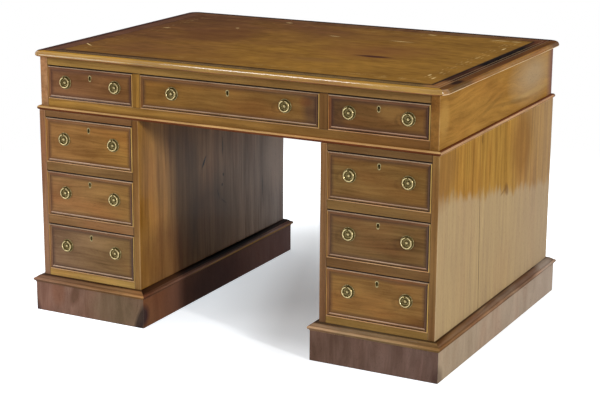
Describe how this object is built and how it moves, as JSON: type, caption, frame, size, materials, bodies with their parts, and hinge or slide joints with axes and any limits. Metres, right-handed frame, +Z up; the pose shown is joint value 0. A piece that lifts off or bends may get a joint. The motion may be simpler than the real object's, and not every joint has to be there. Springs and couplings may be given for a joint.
{
  "type": "pedestal desk",
  "caption": "Pedestal desk with a leather-lined moulded top, a frieze of drawers over twin drawer pedestals on moulded plinths, dovetailed drawers, ring handles and locks.",
  "frame": {"origin": "on the floor, under the middle of the desk", "axes": "+X along the desk's length, to the sitter's right; the drawers face -Y; +Z up"},
  "size_m": [1.272, 0.907, 0.762],
  "materials": {
    "carcase_mahogany": "waxed satin",
    "drawer_mahogany": "waxed satin",
    "plinth_mahogany": "waxed satin",
    "golden_mahogany_moulding": "polished satin",
    "top_crossbanding": "waxed satin",
    "tooled_leather": "worn satin",
    "brass": "aged, hand polished",
    "steel": "dull"
  },
  "bodies": {
    "carcase": {"top_board": "top_crossbanding", "top_edge_moulding": "golden_mahogany_moulding", "writing_leather": "tooled_leather", "frieze_ends": "carcase_mahogany", "frieze_back_and_partitions": "carcase_mahogany", "frieze_front_rails": "carcase_mahogany", "waist_bead": "golden_mahogany_moulding", "left_pedestal_case": "carcase_mahogany", "left_pedestal_rails": "carcase_mahogany", "left_plinth": "plinth_mahogany", "left_plinth_moulding": "golden_mahogany_moulding", "right_pedestal_case": "carcase_mahogany", "right_pedestal_rails": "carcase_mahogany", "right_plinth": "plinth_mahogany", "right_plinth_moulding": "golden_mahogany_moulding"},
    "frieze_left_drawer": {"frieze_left_drawer": "drawer_mahogany", "frieze_left_drawer_brasses": "brass"},
    "frieze_centre_drawer": {"frieze_centre_drawer": "drawer_mahogany", "frieze_centre_drawer_brasses": "brass"},
    "frieze_right_drawer": {"frieze_right_drawer": "drawer_mahogany", "frieze_right_drawer_brasses": "brass"},
    "left_top_drawer": {"left_top_drawer": "drawer_mahogany", "left_top_drawer_brasses": "brass"},
    "left_middle_drawer": {"left_middle_drawer": "drawer_mahogany", "left_middle_drawer_brasses": "brass"},
    "left_bottom_drawer": {"left_bottom_drawer": "drawer_mahogany", "left_bottom_drawer_brasses": "brass"},
    "right_top_drawer": {"right_top_drawer": "drawer_mahogany", "right_top_drawer_brasses": "brass"},
    "right_middle_drawer": {"right_middle_drawer": "drawer_mahogany", "right_middle_drawer_brasses": "brass"},
    "right_bottom_drawer": {"right_bottom_drawer": "drawer_mahogany", "right_bottom_drawer_brasses": "brass"},
    "frieze_left_drawer_left_ring": {"frieze_left_drawer_left_ring": "brass"},
    "frieze_left_drawer_right_ring": {"frieze_left_drawer_right_ring": "brass"},
    "frieze_centre_drawer_left_ring": {"frieze_centre_drawer_left_ring": "brass"},
    "frieze_centre_drawer_right_ring": {"frieze_centre_drawer_right_ring": "brass"},
    "frieze_right_drawer_left_ring": {"frieze_right_drawer_left_ring": "brass"},
    "frieze_right_drawer_right_ring": {"frieze_right_drawer_right_ring": "brass"},
    "left_top_drawer_left_ring": {"left_top_drawer_left_ring": "brass"},
    "left_top_drawer_right_ring": {"left_top_drawer_right_ring": "brass"},
    "left_middle_drawer_left_ring": {"left_middle_drawer_left_ring": "brass"},
    "left_middle_drawer_right_ring": {"left_middle_drawer_right_ring": "brass"},
    "left_bottom_drawer_left_ring": {"left_bottom_drawer_left_ring": "brass"},
    "left_bottom_drawer_right_ring": {"left_bottom_drawer_right_ring": "brass"},
    "right_top_drawer_left_ring": {"right_top_drawer_left_ring": "brass"},
    "right_top_drawer_right_ring": {"right_top_drawer_right_ring": "brass"},
    "right_middle_drawer_left_ring": {"right_middle_drawer_left_ring": "brass"},
    "right_middle_drawer_right_ring": {"right_middle_drawer_right_ring": "brass"},
    "right_bottom_drawer_left_ring": {"right_bottom_drawer_left_ring": "brass"},
    "right_bottom_drawer_right_ring": {"right_bottom_drawer_right_ring": "brass"},
    "frieze_left_drawer_lock_bolt": {"frieze_left_drawer_lock_bolt": "steel"},
    "frieze_centre_drawer_lock_bolt": {"frieze_centre_drawer_lock_bolt": "steel"},
    "frieze_right_drawer_lock_bolt": {"frieze_right_drawer_lock_bolt": "steel"},
    "left_top_drawer_lock_bolt": {"left_top_drawer_lock_bolt": "steel"},
    "left_middle_drawer_lock_bolt": {"left_middle_drawer_lock_bolt": "steel"},
    "left_bottom_drawer_lock_bolt": {"left_bottom_drawer_lock_bolt": "steel"},
    "right_top_drawer_lock_bolt": {"right_top_drawer_lock_bolt": "steel"},
    "right_middle_drawer_lock_bolt": {"right_middle_drawer_lock_bolt": "steel"},
    "right_bottom_drawer_lock_bolt": {"right_bottom_drawer_lock_bolt": "steel"}
  },
  "joints": [
    {"name": "frieze_left_drawer_slide", "type": "slide", "parent": "carcase", "child": "frieze_left_drawer", "axis": [0, -1, 0], "range_m": [0, 0.5]},
    {"name": "frieze_centre_drawer_slide", "type": "slide", "parent": "carcase", "child": "frieze_centre_drawer", "axis": [0, -1, 0], "range_m": [0, 0.5]},
    {"name": "frieze_right_drawer_slide", "type": "slide", "parent": "carcase", "child": "frieze_right_drawer", "axis": [0, -1, 0], "range_m": [0, 0.5]},
    {"name": "left_top_drawer_slide", "type": "slide", "parent": "carcase", "child": "left_top_drawer", "axis": [0, -1, 0], "range_m": [0, 0.5]},
    {"name": "left_middle_drawer_slide", "type": "slide", "parent": "carcase", "child": "left_middle_drawer", "axis": [0, -1, 0], "range_m": [0, 0.5]},
    {"name": "left_bottom_drawer_slide", "type": "slide", "parent": "carcase", "child": "left_bottom_drawer", "axis": [0, -1, 0], "range_m": [0, 0.5]},
    {"name": "right_top_drawer_slide", "type": "slide", "parent": "carcase", "child": "right_top_drawer", "axis": [0, -1, 0], "range_m": [0, 0.5]},
    {"name": "right_middle_drawer_slide", "type": "slide", "parent": "carcase", "child": "right_middle_drawer", "axis": [0, -1, 0], "range_m": [0, 0.5]},
    {"name": "right_bottom_drawer_slide", "type": "slide", "parent": "carcase", "child": "right_bottom_drawer", "axis": [0, -1, 0], "range_m": [0, 0.5]},
    {"name": "frieze_left_drawer_left_ring_swing", "type": "hinge", "parent": "frieze_left_drawer", "child": "frieze_left_drawer_left_ring", "pos_m": [-0.5225, -0.4305, 0.6919], "axis": [-1, 0, 0], "range_deg": [-6, 110]},
    {"name": "frieze_left_drawer_right_ring_swing", "type": "hinge", "parent": "frieze_left_drawer", "child": "frieze_left_drawer_right_ring", "pos_m": [-0.3575, -0.4305, 0.6919], "axis": [-1, 0, 0], "range_deg": [-6, 110]},
    {"name": "frieze_centre_drawer_left_ring_swing", "type": "hinge", "parent": "frieze_centre_drawer", "child": "frieze_centre_drawer_left_ring", "pos_m": [-0.173, -0.4305, 0.6919], "axis": [-1, 0, 0], "range_deg": [-6, 110]},
    {"name": "frieze_centre_drawer_right_ring_swing", "type": "hinge", "parent": "frieze_centre_drawer", "child": "frieze_centre_drawer_right_ring", "pos_m": [0.173, -0.4305, 0.6919], "axis": [-1, 0, 0], "range_deg": [-6, 110]},
    {"name": "frieze_right_drawer_left_ring_swing", "type": "hinge", "parent": "frieze_right_drawer", "child": "frieze_right_drawer_left_ring", "pos_m": [0.3575, -0.4305, 0.6919], "axis": [-1, 0, 0], "range_deg": [-6, 110]},
    {"name": "frieze_right_drawer_right_ring_swing", "type": "hinge", "parent": "frieze_right_drawer", "child": "frieze_right_drawer_right_ring", "pos_m": [0.5225, -0.4305, 0.6919], "axis": [-1, 0, 0], "range_deg": [-6, 110]},
    {"name": "left_top_drawer_left_ring_swing", "type": "hinge", "parent": "left_top_drawer", "child": "left_top_drawer_left_ring", "pos_m": [-0.5285, -0.435, 0.5289], "axis": [-1, 0, 0], "range_deg": [-6, 110]},
    {"name": "left_top_drawer_right_ring_swing", "type": "hinge", "parent": "left_top_drawer", "child": "left_top_drawer_right_ring", "pos_m": [-0.3635, -0.435, 0.5289], "axis": [-1, 0, 0], "range_deg": [-6, 110]},
    {"name": "left_middle_drawer_left_ring_swing", "type": "hinge", "parent": "left_middle_drawer", "child": "left_middle_drawer_left_ring", "pos_m": [-0.5285, -0.435, 0.3724], "axis": [-1, 0, 0], "range_deg": [-6, 110]},
    {"name": "left_middle_drawer_right_ring_swing", "type": "hinge", "parent": "left_middle_drawer", "child": "left_middle_drawer_right_ring", "pos_m": [-0.3635, -0.435, 0.3724], "axis": [-1, 0, 0], "range_deg": [-6, 110]},
    {"name": "left_bottom_drawer_left_ring_swing", "type": "hinge", "parent": "left_bottom_drawer", "child": "left_bottom_drawer_left_ring", "pos_m": [-0.5285, -0.435, 0.2159], "axis": [-1, 0, 0], "range_deg": [-6, 110]},
    {"name": "left_bottom_drawer_right_ring_swing", "type": "hinge", "parent": "left_bottom_drawer", "child": "left_bottom_drawer_right_ring", "pos_m": [-0.3635, -0.435, 0.2159], "axis": [-1, 0, 0], "range_deg": [-6, 110]},
    {"name": "right_top_drawer_left_ring_swing", "type": "hinge", "parent": "right_top_drawer", "child": "right_top_drawer_left_ring", "pos_m": [0.3635, -0.435, 0.5289], "axis": [-1, 0, 0], "range_deg": [-6, 110]},
    {"name": "right_top_drawer_right_ring_swing", "type": "hinge", "parent": "right_top_drawer", "child": "right_top_drawer_right_ring", "pos_m": [0.5285, -0.435, 0.5289], "axis": [-1, 0, 0], "range_deg": [-6, 110]},
    {"name": "right_middle_drawer_left_ring_swing", "type": "hinge", "parent": "right_middle_drawer", "child": "right_middle_drawer_left_ring", "pos_m": [0.3635, -0.435, 0.3724], "axis": [-1, 0, 0], "range_deg": [-6, 110]},
    {"name": "right_middle_drawer_right_ring_swing", "type": "hinge", "parent": "right_middle_drawer", "child": "right_middle_drawer_right_ring", "pos_m": [0.5285, -0.435, 0.3724], "axis": [-1, 0, 0], "range_deg": [-6, 110]},
    {"name": "right_bottom_drawer_left_ring_swing", "type": "hinge", "parent": "right_bottom_drawer", "child": "right_bottom_drawer_left_ring", "pos_m": [0.3635, -0.435, 0.2159], "axis": [-1, 0, 0], "range_deg": [-6, 110]},
    {"name": "right_bottom_drawer_right_ring_swing", "type": "hinge", "parent": "right_bottom_drawer", "child": "right_bottom_drawer_right_ring", "pos_m": [0.5285, -0.435, 0.2159], "axis": [-1, 0, 0], "range_deg": [-6, 110]},
    {"name": "frieze_left_drawer_lock_bolt_throw", "type": "slide", "parent": "frieze_left_drawer", "child": "frieze_left_drawer_lock_bolt", "axis": [0, 0, 1], "range_m": [0, 0.008]},
    {"name": "frieze_centre_drawer_lock_bolt_throw", "type": "slide", "parent": "frieze_centre_drawer", "child": "frieze_centre_drawer_lock_bolt", "axis": [0, 0, 1], "range_m": [0, 0.008]},
    {"name": "frieze_right_drawer_lock_bolt_throw", "type": "slide", "parent": "frieze_right_drawer", "child": "frieze_right_drawer_lock_bolt", "axis": [0, 0, 1], "range_m": [0, 0.008]},
    {"name": "left_top_drawer_lock_bolt_throw", "type": "slide", "parent": "left_top_drawer", "child": "left_top_drawer_lock_bolt", "axis": [0, 0, 1], "range_m": [0, 0.008]},
    {"name": "left_middle_drawer_lock_bolt_throw", "type": "slide", "parent": "left_middle_drawer", "child": "left_middle_drawer_lock_bolt", "axis": [0, 0, 1], "range_m": [0, 0.008]},
    {"name": "left_bottom_drawer_lock_bolt_throw", "type": "slide", "parent": "left_bottom_drawer", "child": "left_bottom_drawer_lock_bolt", "axis": [0, 0, 1], "range_m": [0, 0.008]},
    {"name": "right_top_drawer_lock_bolt_throw", "type": "slide", "parent": "right_top_drawer", "child": "right_top_drawer_lock_bolt", "axis": [0, 0, 1], "range_m": [0, 0.008]},
    {"name": "right_middle_drawer_lock_bolt_throw", "type": "slide", "parent": "right_middle_drawer", "child": "right_middle_drawer_lock_bolt", "axis": [0, 0, 1], "range_m": [0, 0.008]},
    {"name": "right_bottom_drawer_lock_bolt_throw", "type": "slide", "parent": "right_bottom_drawer", "child": "right_bottom_drawer_lock_bolt", "axis": [0, 0, 1], "range_m": [0, 0.008]}
  ]
}
